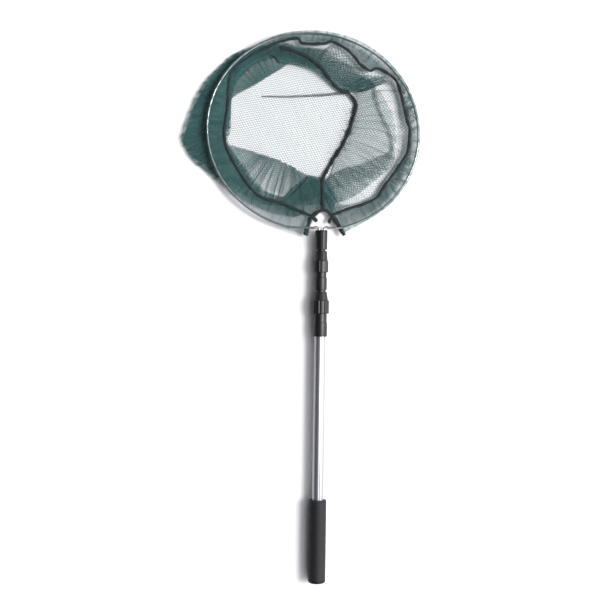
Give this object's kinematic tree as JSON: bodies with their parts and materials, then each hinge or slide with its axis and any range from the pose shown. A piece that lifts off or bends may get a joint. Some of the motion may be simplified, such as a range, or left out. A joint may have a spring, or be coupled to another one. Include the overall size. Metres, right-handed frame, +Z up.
{
  "type": "telescopic leaf skimmer net",
  "caption": "Hand net with a wire hoop and deep mesh bag on a telescopic aluminium pole with twist locks and a soft grip, closed and lying flat.",
  "frame": {"origin": "centre of the butt's flat end face, on the pole's axis", "axes": "+Y runs along the pole from the butt to the hoop, +Z is up and square to the hoop's plane, +X is to the right seen from above with the hoop at the top"},
  "size_m": [0.3971, 0.915, 0.029],
  "materials": {
    "aluminium": "drawn, bright, lightly brushed along its length",
    "steel_wire": "bright plated wire",
    "black_plastic": "satin moulded nylon",
    "black_rubber": "matt, finely ribbed foam rubber",
    "grey_nylon": "satin moulded nylon",
    "green_net": "knitted mesh of dark green thread",
    "dark_binding": "overlocked seam of near black thread"
  },
  "bodies": {
    "handle": {"grip_sleeve": "black_rubber", "butt_cap": "black_plastic", "outer_tube": "aluminium", "lower_lock_base": "black_plastic"},
    "lower_clamp": {"lower_collet": "grey_nylon"},
    "lower_nut": {"lower_lock_nut": "black_plastic"},
    "middle_section": {"middle_tube": "aluminium", "middle_guide_bush": "grey_nylon", "upper_lock_base": "black_plastic"},
    "upper_clamp": {"upper_collet": "grey_nylon"},
    "upper_nut": {"upper_lock_nut": "black_plastic"},
    "net_head": {"inner_tube": "aluminium", "inner_guide_bush": "grey_nylon", "ferrule": "black_plastic", "ferrule_pin": "steel_wire", "hoop": "steel_wire", "hem_sleeve": "green_net", "net_wall": "green_net", "net_bottom": "green_net", "hem_seam": "dark_binding", "neck_binding": "dark_binding", "side_seam": "dark_binding", "bottom_seam": "dark_binding"}
  },
  "joints": [
    {"name": "middle_slide", "type": "slide", "parent": "handle", "child": "middle_section", "axis": [0, 1, 0], "range_m": [0, 0.38]},
    {"name": "inner_slide", "type": "slide", "parent": "middle_section", "child": "net_head", "axis": [0, 1, 0], "range_m": [0, 0.42]},
    {"name": "lower_collet_slide", "type": "slide", "parent": "handle", "child": "lower_clamp", "axis": [0, 1, 0], "range_m": [0, 0.0015]},
    {"name": "lower_nut_twist", "type": "hinge", "parent": "lower_clamp", "child": "lower_nut", "pos_m": [0, 0.457, 0], "axis": [0, 1, 0], "range_deg": [0, 180]},
    {"name": "upper_collet_slide", "type": "slide", "parent": "middle_section", "child": "upper_clamp", "axis": [0, 1, 0], "range_m": [0, 0.0015]},
    {"name": "upper_nut_twist", "type": "hinge", "parent": "upper_clamp", "child": "upper_nut", "pos_m": [0, 0.524, 0], "axis": [0, 1, 0], "range_deg": [0, 180]}
  ],
  "couplings": [
    {"joint": "lower_collet_slide", "follows": "lower_nut_twist", "m_per_rad": 0.000477},
    {"joint": "upper_collet_slide", "follows": "upper_nut_twist", "m_per_rad": 0.000477}
  ]
}
